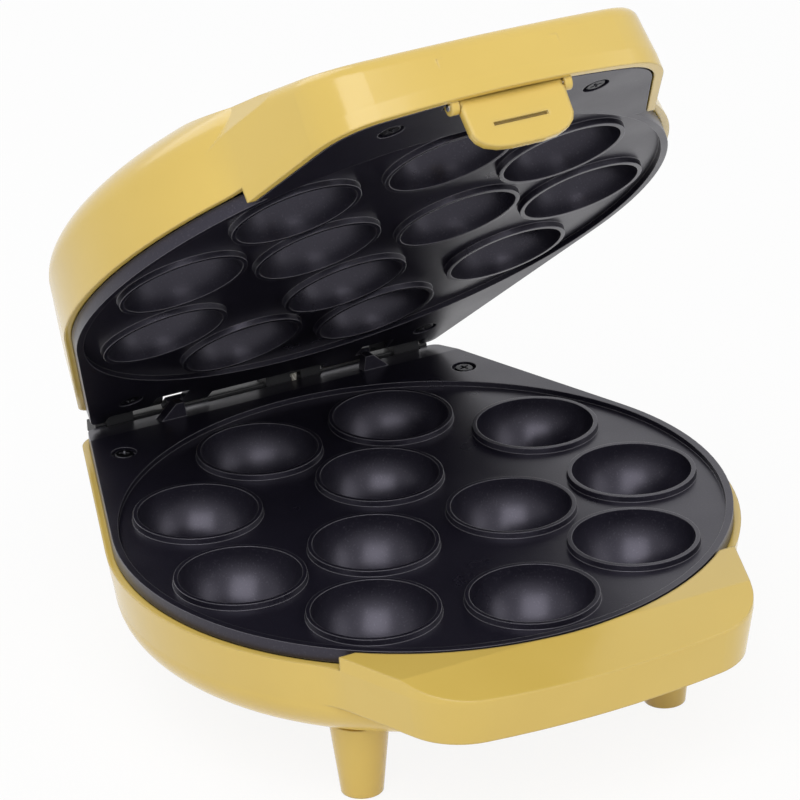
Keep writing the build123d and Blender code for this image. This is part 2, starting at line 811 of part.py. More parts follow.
# The lid's plate also closes the underside of the nose, round a slot for the latch
with BuildSketch() as upper_plate_profile:
    add(nose_outline(
        housing_radius, housing_rear, housing_corner, lid_nose, wall + nose_plate_gap))
    with Locations((0, 150 - nose_end_front)):
        Rectangle(300, 300, mode=Mode.SUBTRACT)
    add(body_outline(plate_radius, upper_strip_rear, plate_corner))
    # The strip behind the hinge line leaves room for the ears
    for x, width in strip_notches:
        with Locations((x, plate_rear - 0.3 + 10)):
            Rectangle(width, 20, mode=Mode.SUBTRACT)
    with Locations((0, -latch_slot_front - 10)):
        Rectangle(2 * (latch_half_width + latch_slot_room), 20, mode=Mode.SUBTRACT)
    # Notches for the lower plate's lugs
    slot_depth = plate_rear - 0.3 - lug_front + lug_room
    slot_middle = lug_front - lug_room + slot_depth / 2
    with Locations((40.5, slot_middle), (-40.5, slot_middle)):
        Rectangle(12.6, slot_depth, mode=Mode.SUBTRACT)
with BuildPart() as upper_plate_turned:
    add(cast_plate(upper_plate_profile.sketch, plate_screw_spots_upper))
    # The rear flange is thinner, to clear the hinge
    with BuildSketch(below(plate_thickness)):
        with Locations((0, rear_flange_front + 10)):
            Rectangle(2 * outer_ear[1] + 8, 20)
    extrude(amount=plate_thickness - rear_flange_thickness, mode=Mode.SUBTRACT)
with BuildPart() as upper_plate:
    add(open_lid(turn_over(upper_plate_turned.part)))


# Latch: a flat bar that swings from a pin under the lid's nose
with BuildPart() as latch_closed:
    with BuildSketch(Plane.XZ.offset(-latch_back)):
        with BuildLine():
            Polyline(*latch_outline(-1), *latch_outline(1)[::-1], close=True)
        make_face()
    extrude(amount=latch_back - latch_front)
    with BuildSketch(Plane.YZ.offset(-latch_half_width + 0.2)):
        with Locations(latch_pivot):
            Circle(latch_barrel_radius)
    extrude(amount=2 * latch_half_width - 0.4)
    # Hook that snaps over the front edge of the base's nose
    with BuildSketch(Plane.YZ.offset(-latch_hook_half_width)):
        with BuildLine():
            Polyline(*[(y, lid_seam_height + z) for y, z in latch_hook], close=True)
        make_face()
    extrude(amount=2 * latch_hook_half_width)
    with BuildSketch(Plane.YZ.offset(-latch_half_width - 1)):
        with Locations(latch_pivot):
            Circle(latch_pin_radius + 0.05)
    extrude(amount=2 * latch_half_width + 2, mode=Mode.SUBTRACT)
    # Finger groove across the front
    with BuildSketch(Plane.XZ.offset(-latch_front)):
        with Locations((0, lid_seam_height - latch_groove_drop)):
            Rectangle(latch_groove[0], latch_groove[1])
    extrude(amount=-latch_groove[2], mode=Mode.SUBTRACT)
with BuildPart() as latch:
    add(open_lid(latch_closed.part))
with BuildPart() as latch_pin_closed:
    with BuildSketch(Plane.YZ.offset(latch_spans[1][0] - 0.4)):
        with Locations(latch_pivot):
            Circle(latch_pin_radius)
    extrude(amount=latch_spans[0][1] - latch_spans[1][0] + 0.8)
with BuildPart() as latch_pin:
    add(open_lid(latch_pin_closed.part))

# Hinge pins with heads at the outer ends, and the washers between the ears
with BuildPart() as hinge_pins:
    for side in (-1, 1):
        with BuildSketch(hinge_plane.offset(side * (inner_ear[0] - 0.6))):
            Circle(pin_radius)
        extrude(amount=side * (outer_ear[1] - inner_ear[0] + 0.7))
        with BuildSketch(hinge_plane.offset(side * (outer_ear[1] + 0.1))):
            Circle(pin_head_radius)
        extrude(amount=side * pin_head_thickness)
with BuildPart() as hinge_washers:
    for side in (-1, 1):
        with BuildSketch(hinge_plane.offset(side * (outer_ear[0] - 0.1))):
            Circle(knuckle_radius - 0.6)
            Circle(pin_radius + pin_running_fit, mode=Mode.SUBTRACT)
        extrude(amount=-side * washer_thickness)

with BuildPart() as foot_pads:
    with BuildSketch(Plane.XY):
        with Locations(*leg_spots):
            Circle(pad_radius)
    extrude(amount=pad_proud + pad_seat - 0.1)


# Screws whose heads lie under a plane and whose shanks run on from it: amounts set the direction
def screws(plane, spots, head_radius, head, shank, turn=1):
    with BuildPart(mode=Mode.PRIVATE) as group:
        with BuildSketch(plane):
            with Locations(*spots):
                Circle(head_radius)
        extrude(amount=turn * head)
        with BuildSketch(plane.offset(turn * head)):
            with Locations(*spots):
                Circle(screw_radius)
        extrude(amount=turn * (shank - head))
    return group.part


clamp_screw_spots = []
for ring in clamp_post_rings:
    for angle in clamp_angles:
        clamp_screw_spots.append(polar(ring, angle))
clamp_face = element_depth + element_radius + 0.1
shield_spots = [polar(shield_post_ring, angle) for angle in shield_post_angles]
sunk = below(screw_sink - screw_head_thickness)

with BuildPart() as lower_plate_screws:
    add(screws(sunk, plate_screw_spots_lower, screw_head_radius, screw_head_thickness - 0.05,
               plate_screw_length, -1))
with BuildPart() as upper_plate_screws:
    add(open_lid(turn_over(screws(sunk, plate_screw_spots_upper, screw_head_radius,
                                  screw_head_thickness - 0.05, plate_screw_length, -1))))

# Tubular heating element with its ends turned down to the terminals
with BuildPart() as lower_heating_element:
    start = polar(element_ring, 90 + element_gap_angle)
    finish = polar(element_ring, 90 - element_gap_angle)
    middle = (0, -element_ring)
    with BuildLine(below(element_depth)) as ring_path:
        ThreePointArc(start, middle, finish)
    with BuildSketch(ring_path.line ^ 0):
        Circle(element_radius)
    sweep(path=ring_path.line)
    for side in (-1, 1):
        gap = radians(90 - side * element_gap_angle)
        end = Vector(element_ring * cos(gap), element_ring * sin(gap), seam_height - element_depth)
        run = Vector(-side * sin(gap), side * cos(gap), 0)
        drop = Vector(0, 0, -1)
        corner = end + (run + drop) * element_bend * (1 - cos(radians(45)))
        turn = end + run * element_bend * sin(radians(45)) + drop * element_bend * (1 - cos(radians(45)))
        foot = end + (run + drop) * element_bend
        with BuildLine() as tail_path:
            ThreePointArc(end, turn, foot)
            Line(foot, foot + drop * element_tail)
        with BuildSketch(Plane(origin=end, z_dir=run)):
            Circle(element_radius)
        sweep(path=tail_path.line)
        with BuildSketch(Plane(origin=foot + drop * element_tail, z_dir=drop)):
            Circle(terminal_radius)
        extrude(amount=terminal_length)
element_end_x = foot.X
element_end_y = foot.Y

with BuildPart() as lower_element_clamps:
    with BuildSketch(below(clamp_face + clamp_thickness)):
        with PolarLocations(element_ring, 3, start_angle=clamp_angles[0]):
            SlotOverall(clamp_outer - clamp_inner, clamp_width)
        with Locations(*clamp_screw_spots):
            Circle(screw_hole_radius, mode=Mode.SUBTRACT)
    extrude(amount=clamp_thickness - 0.02)
clamp_head_face = clamp_face + clamp_thickness + small_head_thickness
with BuildPart() as lower_clamp_screws:
    add(screws(below(clamp_head_face), clamp_screw_spots, small_head_radius,
               small_head_thickness - 0.02, clamp_screw_length + 1))

# Dish that keeps the heat off the housing, open at the rear for the leads
with BuildPart() as lower_heat_shield:
    with BuildSketch(Plane.XZ):
        with BuildLine():
            Polyline(
                (0, seam_height - shield_depth),
                (shield_floor_radius, seam_height - shield_depth),
                (shield_rim_radius, seam_height - shield_rim_depth),
                (shield_rim_radius + shield_thickness, seam_height - shield_rim_depth),
                (shield_floor_radius + shield_thickness, seam_height - shield_depth - shield_thickness),
                (0, seam_height - shield_depth - shield_thickness),
                close=True,
            )
        make_face()
    revolve(axis=Axis.Z)
    with BuildSketch(below(shield_depth - 0.4)):
        with Locations((0, shield_floor_radius)):
            Rectangle(shield_gate_width, 30)
    extrude(amount=shield_depth, mode=Mode.SUBTRACT)
    with BuildSketch(below(shield_depth + shield_thickness)):
        with Locations(*shield_spots):
            Circle(screw_hole_radius)
    extrude(amount=shield_thickness, mode=Mode.SUBTRACT)
with BuildPart() as shield_screws_lower:
    add(screws(below(shield_depth - small_head_thickness), shield_spots, small_head_radius,
               small_head_thickness - 0.02, 5.0, -1))

# Thermostat against the plate's centre, held by a tab with one screw
with BuildPart() as thermostat:
    with BuildSketch(below(thermostat_depth + 0.05)):
        Circle(thermostat_radius)
    extrude(amount=0.05 - thermostat_height)
    with BuildSketch(below(thermostat_depth + thermostat_height + 0.02)):
        with Locations((0, thermostat_post_y / 2)):
            SlotCenterToCenter(-thermostat_post_y, 7, rotation=90)
        with Locations((0, thermostat_post_y)):
            Circle(screw_hole_radius, mode=Mode.SUBTRACT)
    extrude(amount=-1)
    with BuildSketch(below(thermostat_depth + thermostat_height)):
        with Locations((thermostat_leg_x, 0), (-thermostat_leg_x, 0)):
            Circle(terminal_radius)
    extrude(amount=thermostat_depth + thermostat_height - element_depth - element_bend - element_tail
            - terminal_length)
thermostat_head_face = thermostat_depth + thermostat_height + 1.04 + small_head_thickness
with BuildPart() as thermostat_screw:
    add(screws(below(thermostat_head_face), [(0, thermostat_post_y)], small_head_radius,
               small_head_thickness - 0.02, clamp_screw_length + 1))


# Round lead along a list of corners
def lead(corners, radius, bend):
    with BuildPart(mode=Mode.PRIVATE) as wire:
        with BuildLine() as path:
            if len(corners) == 2:
                Line(*corners)
            else:
                FilletPolyline(*corners, radius=bend)
        with BuildSketch(path.line ^ 0):
            Circle(radius)
        sweep(path=path.line)
    return wire.part


# Push-on sleeves round a row of terminals
def sleeves(spots):
    with BuildPart(mode=Mode.PRIVATE) as rings:
        with BuildSketch(below(lead_depth + 1.3)):
            with Locations(*spots):
                Circle(2.2)
                Circle(terminal_radius + 0.03, mode=Mode.SUBTRACT)
        extrude(amount=2.6)
    return rings.part


element_spots = [(element_end_x, element_end_y), (-element_end_x, element_end_y)]
thermostat_spots = [(thermostat_leg_x, 0), (-thermostat_leg_x, 0)]
block_width, block_thickness, block_height = terminal_block_size
block_face = terminal_block_y - block_thickness / 2
lead_z = seam_height - lead_depth
block_top = seam_height - terminal_block_depth + block_height

with BuildPart() as terminal_block:
    with BuildSketch(below(terminal_block_depth - 0.02)):
        with Locations((0, terminal_block_y)):
            RectangleRounded(block_width, block_thickness, 1.5)
    extrude(amount=block_height)
with BuildPart() as base_leads:
    for spot in element_spots + thermostat_spots:
        add(sleeves([spot]))
        with BuildSketch(Plane(origin=(spot[0], spot[1] + 1.6, lead_z), z_dir=(0, 1, 0))):
            Circle(lead_radius)
        extrude(amount=block_face - 0.05 - spot[1] - 1.6)
fuse_x, fuse_y = fuse_spot
fuse_z = seam_height - plate_thickness - fuse_radius - 0.2
with BuildPart() as thermal_fuse:
    with BuildSketch(Plane(origin=(fuse_x - fuse_length / 2, fuse_y, fuse_z), z_dir=(1, 0, 0))):
        Circle(fuse_radius)
    extrude(amount=fuse_length)
    add(lead([
        (fuse_x + fuse_length / 2 - 1, fuse_y, fuse_z),
        (-9, fuse_y, fuse_z),
        (-9, fuse_y, block_top + 0.1),
    ], 0.8, 3.0))
    add(lead([
        (fuse_x - fuse_length / 2 + 1, fuse_y, fuse_z),
        (fuse_x - fuse_length / 2 - 4, fuse_y, fuse_z),
        (fuse_x - fuse_length / 2 - 4, fuse_y + 5, fuse_z),
        (-4, fuse_y + 5, fuse_z),
        (-4, fuse_y + 5, block_top + 0.1),
    ], 0.8, 2.0))
with BuildPart() as base_hinge_lead:
    add(lead([
        (0.15, hinge_y, hinge_height),
        (conduit_x, hinge_y, hinge_height),
        (conduit_x, hinge_y, seam_height - 7.5),
        (conduit_x, terminal_block_y, seam_height - 7.5),
        (conduit_x, terminal_block_y, block_top + 0.1),
    ], 1.6, 3.5))
with BuildPart() as cord_gland:
    with BuildSketch(Plane.XZ.offset(-housing_rear - 2.4)):
        with Locations((gland_x, seam_height - gland_depth)):
            Circle(gland_radius + 1.8)
    extrude(amount=2.2)
    with BuildSketch(Plane.XZ.offset(-housing_rear - 2.4)):
        with Locations((gland_x, seam_height - gland_depth)):
            Circle(gland_radius - 0.05)
    extrude(amount=9.4)
    with BuildSketch(Plane.XZ.offset(-housing_rear + 5.4)):
        with Locations((gland_x, seam_height - gland_depth)):
            Circle(gland_radius + 1.4)
    extrude(amount=1.6)
    with BuildSketch(Plane.XZ.offset(-housing_rear - 2.4)):
        with Locations((gland_x, seam_height - gland_depth)):
            Circle(gland_bore)
    extrude(amount=10, mode=Mode.SUBTRACT)

# The lid's copies of the inner pieces
with BuildPart() as upper_heating_element:
    add(open_lid(turn_over(lower_heating_element.part)))
with BuildPart() as upper_element_clamps:
    add(open_lid(turn_over(lower_element_clamps.part)))
with BuildPart() as upper_clamp_screws:
    add(open_lid(turn_over(lower_clamp_screws.part)))
with BuildPart() as upper_heat_shield:
    add(open_lid(turn_over(lower_heat_shield.part)))
with BuildPart() as shield_screws_upper:
    add(open_lid(turn_over(shield_screws_lower.part)))

lid_block_face = lid_block_y - block_thickness / 2
with BuildPart() as lid_block_closed:
    with BuildSketch(above(lid_block_depth)):
        with Locations((0, lid_block_y)):
            RectangleRounded(block_width, block_thickness, 1.5)
    extrude(amount=block_height - 0.05)
with BuildPart() as lid_terminal_block:
    add(open_lid(lid_block_closed.part))
with BuildPart() as lid_leads_closed:
    for x, y in element_spots:
        add(turn_over(sleeves([(x, y)])))
        add(lead([
            (x, y + 1.6, lid_seam_height + lead_depth),
            (x, 102.0, lid_seam_height + lead_depth),
            (x, 102.0, lid_seam_height + 37),
            (x, lid_block_y + block_thickness / 2 + 0.05, lid_seam_height + 37),
        ], lead_radius, 2.5))
    for side in (-1, 1):
        add(lead([
            (side * lamp_x, lamp_y + 5.6, lid_seam_height + 36),
            (side * lamp_x, lid_block_face - 0.05, lid_seam_height + 36),
        ], lead_radius, 2.0))
with BuildPart() as lid_leads:
    add(open_lid(lid_leads_closed.part))
with BuildPart() as lid_hinge_lead:
    add(open_lid(lead([
        (-0.15, hinge_y, hinge_height),
        (-conduit_x, hinge_y, hinge_height),
        (-conduit_x, hinge_y, lid_seam_height + 15.5),
        (-conduit_x, 109.0, lid_seam_height + 15.5),
        (-3.0, 109.0, lid_seam_height + 15.5),
        (-3.0, 109.0, lid_seam_height + 33),
        (-3.0, lid_block_y + block_thickness / 2 + 0.05, lid_seam_height + 33),
    ], 1.6, 3.0)))
lens_parts = []
for x in (-lamp_x, lamp_x):
    with BuildPart(mode=Mode.PRIVATE) as lens:
        with BuildSketch(above(lid_crown_height - wall)):
            with Locations((x, lamp_y)):
                Circle(lens_radius)
        extrude(amount=wall + 0.8)
        fillet(lens.edges().group_by(Axis.Z)[-1], 0.7)
    lens_parts.append(lens.part)
with BuildPart() as power_lamp_lens:
    add(open_lid(lens_parts[0]))
with BuildPart() as ready_lamp_lens:
    add(open_lid(lens_parts[1]))
with BuildPart() as lamp_holders_closed:
    with BuildSketch(above(lid_crown_height - wall - 0.1)):
        with Locations((lamp_x, lamp_y), (-lamp_x, lamp_y)):
            Circle(lens_radius + 1.0)
    extrude(amount=-lamp_holder_length)
with BuildPart() as lamp_holders:
    add(open_lid(lamp_holders_closed.part))

pieces = {
    "base_housing": base_housing,
    "base_hinge_ears": base_hinge_ears,
    "base_conduit_ear": base_conduit_ear,
    "lower_plate": lower_plate,
    "lower_heating_element": lower_heating_element,
    "lower_element_clamps": lower_element_clamps,
    "lower_clamp_screws": lower_clamp_screws,
    "lower_heat_shield": lower_heat_shield,
    "shield_screws_lower": shield_screws_lower,
    "lower_plate_screws": lower_plate_screws,
    "thermostat": thermostat,
    "thermostat_screw": thermostat_screw,
    "thermal_fuse": thermal_fuse,
    "terminal_block": terminal_block,
    "base_leads": base_leads,
    "base_hinge_lead": base_hinge_lead,
    "cord_gland": cord_gland,
    "foot_pads": foot_pads,
    "hinge_pins": hinge_pins,
    "hinge_washers": hinge_washers,
    "lid_housing": lid_housing,
    "lid_hinge_ears": lid_hinge_ears,
    "lid_conduit_ear": lid_conduit_ear,
    "upper_plate": upper_plate,
    "upper_heating_element": upper_heating_element,
    "upper_element_clamps": upper_element_clamps,
    "upper_clamp_screws": upper_clamp_screws,
    "upper_heat_shield": upper_heat_shield,
    "shield_screws_upper": shield_screws_upper,
    "upper_plate_screws": upper_plate_screws,
    "power_lamp_lens": power_lamp_lens,
    "ready_lamp_lens": ready_lamp_lens,
    "lamp_holders": lamp_holders,
    "lid_terminal_block": lid_terminal_block,
    "lid_leads": lid_leads,
    "lid_hinge_lead": lid_hinge_lead,
    "latch_pin": latch_pin,
    "latch": latch,
}
for name, piece in pieces.items():
    write(piece.part, name)
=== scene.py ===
import math

import bmesh
import bpy
from mathutils import Matrix, Vector


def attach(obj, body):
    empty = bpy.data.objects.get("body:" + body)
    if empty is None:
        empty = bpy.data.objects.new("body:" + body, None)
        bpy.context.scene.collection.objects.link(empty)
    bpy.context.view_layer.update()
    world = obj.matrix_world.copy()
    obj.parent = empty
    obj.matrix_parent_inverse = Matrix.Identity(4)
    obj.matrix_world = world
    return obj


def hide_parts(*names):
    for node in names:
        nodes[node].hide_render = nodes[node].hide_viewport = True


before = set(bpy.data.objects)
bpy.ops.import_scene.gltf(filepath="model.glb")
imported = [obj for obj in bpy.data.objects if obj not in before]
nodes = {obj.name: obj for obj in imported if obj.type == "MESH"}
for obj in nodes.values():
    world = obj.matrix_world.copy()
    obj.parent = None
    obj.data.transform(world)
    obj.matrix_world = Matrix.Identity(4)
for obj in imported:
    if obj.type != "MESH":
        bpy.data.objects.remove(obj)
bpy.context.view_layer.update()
print("frame loaded:", len(nodes), "nodes")

# Camera: low three-quarter view from the left front, with the slight roll of the photograph
shot = {
    "aim": (0.0341, 0.0748, 0.062),
    "azimuth": -27.04,
    "elevation": 24.44,
    "roll": -2.38,
    "distance": 1.4969,
    "lens": 190.96,
}


def placeCamera(settings):
    azimuth = math.radians(settings["azimuth"])
    elevation = math.radians(settings["elevation"])
    roll = math.radians(settings["roll"])
    ahead = Vector((-math.sin(azimuth) * math.cos(elevation),
                    math.cos(azimuth) * math.cos(elevation), -math.sin(elevation)))
    level = Vector((math.cos(azimuth), math.sin(azimuth), 0.0))
    upright = level.cross(ahead)
    side = math.cos(roll) * level + math.sin(roll) * upright
    top = -math.sin(roll) * level + math.cos(roll) * upright
    turn = Matrix((side, top, -ahead)).transposed().to_4x4()
    data = bpy.data.cameras.new("camera")
    data.lens = settings["lens"]
    data.sensor_width = 36.0
    data.clip_end = 50.0
    camera = bpy.data.objects.new("camera", data)
    camera.matrix_world = Matrix.Translation(Vector(settings["aim"]) - ahead * settings["distance"]) @ turn
    bpy.context.scene.collection.objects.link(camera)
    bpy.context.scene.camera = camera


placeCamera(shot)
bpy.context.scene.view_settings.view_transform = "Standard"
print("camera placed")


# Small helpers for material nodes
def addNode(tree, kind, sockets=None, **options):
    node = tree.nodes.new(kind)
    for name, value in options.items():
        setattr(node, name, value)
    for name, value in (sockets or {}).items():
        node.inputs[name].default_value = value
    return node


def startTree(block, outputKind):
    block.use_nodes = True
    block.node_tree.nodes.clear()
    return block.node_tree, addNode(block.node_tree, outputKind)


def startFinish(name, constants):
    material = bpy.data.materials.new(name)
    tree, output = startTree(material, "ShaderNodeOutputMaterial")
    shader = addNode(tree, "ShaderNodeBsdfPrincipled", constants)  # kept on the shader's own sockets
    tree.links.new(shader.outputs[0], output.inputs[0])
    return material, tree, shader


def objectSpace(tree, stretch=(1.0, 1.0, 1.0), turn=(0.0, 0.0, 0.0)):
    coords = addNode(tree, "ShaderNodeTexCoord")
    mapping = addNode(tree, "ShaderNodeMapping", {"Scale": stretch, "Rotation": turn})
    tree.links.new(coords.outputs["Object"], mapping.inputs["Vector"])
    return mapping.outputs[0]


def noise(tree, space, scale, detail=3.0, rough=0.5):
    node = addNode(tree, "ShaderNodeTexNoise", {"Scale": scale, "Detail": detail, "Roughness": rough})
    tree.links.new(space, node.inputs["Vector"])
    return node.outputs[0]


def cells(tree, space, scale):
    node = addNode(tree, "ShaderNodeTexVoronoi", {"Scale": scale})
    tree.links.new(space, node.inputs["Vector"])
    return node


def waves(tree, space, scale):
    node = addNode(tree, "ShaderNodeTexWave", {"Scale": scale}, wave_type="BANDS", bands_direction="X")
    tree.links.new(space, node.inputs["Vector"])
    return node.outputs["Fac"]


def remap(tree, value, low, high, start=0.3, end=0.7):
    node = addNode(tree, "ShaderNodeMapRange",
                   {"From Min": start, "From Max": end, "To Min": low, "To Max": high})
    tree.links.new(value, node.inputs["Value"])
    return node.outputs[0]


def between(tree, value, first, second, start=0.3, end=0.7):
    node = addNode(tree, "ShaderNodeValToRGB")
    node.color_ramp.elements[0].position = start
    node.color_ramp.elements[0].color = (*first, 1.0)
    node.color_ramp.elements[1].position = end
    node.color_ramp.elements[1].color = (*second, 1.0)
    tree.links.new(value, node.inputs[0])
    return node.outputs[0]


def blendColours(tree, amount, under, over):
    node = addNode(tree, "ShaderNodeMix", data_type="RGBA")
    tree.links.new(amount, node.inputs[0])
    tree.links.new(under, node.inputs[6])
    node.inputs[7].default_value = (*over, 1.0)
    return node.outputs[2]


def softNormal(tree, radius):
    return addNode(tree, "ShaderNodeBevel", {"Radius": radius}, samples=6).outputs[0]


# Share of bevelled edge on a surface; the finishes lighten edges with it, as painted highlight (with wear
# on the shell and mouldings)
def edgeShare(tree, normal, amount, strength=6.0):
    true = addNode(tree, "ShaderNodeNewGeometry")
    dot = addNode(tree, "ShaderNodeVectorMath", operation="DOT_PRODUCT")
    tree.links.new(normal, dot.inputs[0])
    tree.links.new(true.outputs["Normal"], dot.inputs[1])
    mask = addNode(tree, "ShaderNodeMapRange",
                   {"From Min": 1.0, "From Max": 1.0 - 1.0 / strength, "To Min": 0.0, "To Max": 1.0})
    tree.links.new(dot.outputs["Value"], mask.inputs["Value"])
    share = addNode(tree, "ShaderNodeMath", {1: amount}, operation="MULTIPLY")
    tree.links.new(mask.outputs[0], share.inputs[0])
    return share.outputs[0]


def emboss(tree, shader, height, strength, distance, normal=None):
    node = addNode(tree, "ShaderNodeBump", {"Strength": strength, "Distance": distance})
    tree.links.new(height, node.inputs["Height"])
    if normal is not None:
        tree.links.new(normal, node.inputs["Normal"])
    tree.links.new(node.outputs[0], shader.inputs["Normal"])


# Looks that several materials share are rows of values under these names
def named(fields, row):
    return dict(zip(fields, row))


# Glossy yellow moulded plastic of the two housings and the latch, with lighter edges: painted highlight
# and wear along the edges
shellLook = {
    "low": (0.690, 0.485, 0.105),
    "high": (0.740, 0.530, 0.125),
    "edge": (0.88, 0.69, 0.27),
    "edgeAmount": 0.30,
    "edgeRadius": 0.0011,
    "latchEdgeRadius": 0.0020,
    "tintScale": 14.0,
    "roughLow": 0.17,
    "roughHigh": 0.25,
    "roughScale": 55.0,
    "peelScale": 520.0,
    "peelStrength": 0.25,
    "peelDepth": 0.00005,
}


def makeShell(name, look, edgeRadius):
    material, tree, shader = startFinish(name, {
        "IOR": 1.5, "Coat Weight": 0.2, "Coat Roughness": 0.08, "Coat IOR": 1.45,
    })
    space = objectSpace(tree)
    tint = between(tree, noise(tree, space, look["tintScale"], 4.0), look["low"], look["high"])
    normal = softNormal(tree, edgeRadius)
    # lighter edge colour: painted highlight and wear along the edges
    edgeLightAndWear = edgeShare(tree, normal, look["edgeAmount"])
    tree.links.new(blendColours(tree, edgeLightAndWear, tint, look["edge"]), shader.inputs["Base Color"])
    rough = remap(tree, noise(tree, space, look["roughScale"], 5.0), look["roughLow"], look["roughHigh"])
    tree.links.new(rough, shader.inputs["Roughness"])
    peel = noise(tree, space, look["peelScale"], 2.0)
    emboss(tree, shader, peel, look["peelStrength"], look["peelDepth"], normal)
    return material


# Dark non-stick coating on the cast plates, with a painted highlight along their edges and lips
coatingLook = {
    "dark": (0.0078, 0.0070, 0.0125),
    "speck": (0.034, 0.032, 0.042),
    "edge": (0.24, 0.235, 0.25),
    "edgeAmount": 0.6,
    "edgeRadius": 0.0004,
    "roughLow": 0.27,
    "roughHigh": 0.36,
    "roughScale": 40.0,
    "speckScale": 1500.0,
    "speckStart": 0.58,
    "speckEnd": 0.74,
    "grainScale": 2300.0,
    "grainStrength": 0.5,
    "grainDepth": 0.00004,
}


def makeCoating(look):
    material, tree, shader = startFinish("nonStickCoating", {
        "IOR": 1.5, "Specular IOR Level": 0.6, "Specular Tint": (0.86, 0.82, 1.0, 1.0),
    })
    space = objectSpace(tree)
    specks = between(tree, noise(tree, space, look["speckScale"], 2.0),
                     look["dark"], look["speck"], look["speckStart"], look["speckEnd"])
    normal = softNormal(tree, look["edgeRadius"])
    # pale edge colour: painted highlight along edges and lips
    paintedEdgeHighlight = edgeShare(tree, normal, look["edgeAmount"])
    tree.links.new(blendColours(tree, paintedEdgeHighlight, specks, look["edge"]), shader.inputs["Base Color"])
    rough = remap(tree, noise(tree, space, look["roughScale"], 4.0), look["roughLow"], look["roughHigh"])
    tree.links.new(rough, shader.inputs["Roughness"])
    grain = noise(tree, space, look["grainScale"], 2.0)
    emboss(tree, shader, grain, look["grainStrength"], look["grainDepth"], normal)
    return material


# Bare and plated metals, each with its grain and a few dull stains
metalFields = ("dull", "bright", "roughLow", "roughHigh", "grainScale", "stretch", "anisotropy")
metals = {
    "elementSheath": ((0.20, 0.17, 0.145), (0.36, 0.33, 0.30), 0.34, 0.52, 420.0, (1.0, 1.0, 1.0), 0.0),
    "pressedSteel": ((0.42, 0.42, 0.43), (0.62, 0.62, 0.63), 0.28, 0.42, 300.0, (0.08, 1.0, 1.0), 0.3),
    "screwSteel": ((0.45, 0.44, 0.42), (0.68, 0.67, 0.64), 0.24, 0.40, 700.0, (1.0, 1.0, 0.2), 0.0),
    "darkScrew": ((0.022, 0.022, 0.026), (0.070, 0.070, 0.078), 0.30, 0.46, 900.0, (1.0, 1.0, 1.0), 0.0),
    "pinSteel": ((0.48, 0.48, 0.49), (0.70, 0.70, 0.71), 0.20, 0.32, 900.0, (1.0, 0.1, 0.1), 0.4),
    "fuseCase": ((0.40, 0.38, 0.33), (0.62, 0.60, 0.54), 0.28, 0.44, 500.0, (0.2, 1.0, 1.0), 0.0),
}
metalStain = {"scale": 60.0, "depth": 0.35}
metalEdgeRadius = 0.0003


def makeMetal(name, look):
    material, tree, shader = startFinish(name, {"Metallic": 1.0, "Anisotropic": look["anisotropy"]})
    space = objectSpace(tree, look["stretch"])
    grain = look["grainScale"]
    colour = between(tree, noise(tree, space, grain, 4.0, 0.6), look["dull"], look["bright"], 0.25, 0.75)
    stain = noise(tree, objectSpace(tree), metalStain["scale"], 3.0)
    shade = remap(tree, stain, 0.0, metalStain["depth"], 0.45, 0.75)
    tree.links.new(blendColours(tree, shade, colour, look["dull"]), shader.inputs["Base Color"])
    rough = remap(tree, noise(tree, space, grain * 0.6, 3.0), look["roughLow"], look["roughHigh"])
    tree.links.new(rough, shader.inputs["Roughness"])
    scratches = noise(tree, space, grain * 1.6, 2.0)
    emboss(tree, shader, scratches, 0.3, 0.00003, softNormal(tree, metalEdgeRadius))
    return material


# Coated sheet of the heat shields, with the spangle of hot-dipped metal
spangleLook = {
    "dark": (0.50, 0.51, 0.53),
    "light": (0.66, 0.67, 0.69),
    "cellScale": 130.0,
    "roughLow": 0.26,
    "roughHigh": 0.44,
    "waveScale": 260.0,
    "waveStrength": 0.25,
    "waveDepth": 0.00006,
}


def makeSpangle(look):
    material, tree, shader = startFinish("shieldSheet", {"Metallic": 1.0})
    space = objectSpace(tree)
    flakes = cells(tree, space, look["cellScale"])
    flakeTone = addNode(tree, "ShaderNodeSeparateColor")
    tree.links.new(flakes.outputs["Color"], flakeTone.inputs[0])
    colour = between(tree, flakeTone.outputs[0], look["dark"], look["light"], 0.1, 0.9)
    tree.links.new(colour, shader.inputs["Base Color"])
    rough = remap(tree, flakeTone.outputs[1], look["roughLow"], look["roughHigh"], 0.0, 1.0)
    tree.links.new(rough, shader.inputs["Roughness"])
    wave = noise(tree, space, look["waveScale"], 3.0)
    emboss(tree, shader, wave, look["waveStrength"], look["waveDepth"], softNormal(tree, metalEdgeRadius))
    return material


# Moulded plastics, rubber and the thermostat's case: mottled tones, fine grain, paler edges as painted
# highlight and wear
mouldingFields = ("low", "high", "roughLow", "roughHigh", "mottleScale", "grainScale", "grainDepth")
mouldings = {
    "darkPlastic": ((0.018, 0.018, 0.020), (0.034, 0.034, 0.037), 0.38, 0.52, 30.0, 900.0, 0.00007),
    "blockPlastic": ((0.62, 0.60, 0.55), (0.74, 0.72, 0.67), 0.34, 0.48, 45.0, 800.0, 0.00004),
    "thermostatCase": ((0.055, 0.030, 0.018), (0.095, 0.055, 0.034), 0.30, 0.46, 120.0, 1100.0, 0.00003),
    "padRubber": ((0.016, 0.016, 0.016), (0.036, 0.035, 0.034), 0.62, 0.82, 60.0, 1500.0, 0.00010),
    "washerPlastic": ((0.60, 0.59, 0.55), (0.72, 0.71, 0.67), 0.36, 0.48, 80.0, 1200.0, 0.00003),
    # dark brown inlay in the latch's finger mark: painted shadow in the groove
    "paintedGrooveShadow": ((0.150, 0.100, 0.020), (0.210, 0.140, 0.030), 0.45, 0.60, 400.0, 1500.0, 0.00003),
}
mouldingEdgeLightAndWear = {"edgeRadius": 0.0005, "amount": 0.3, "lift": 0.03, "gain": 1.35}


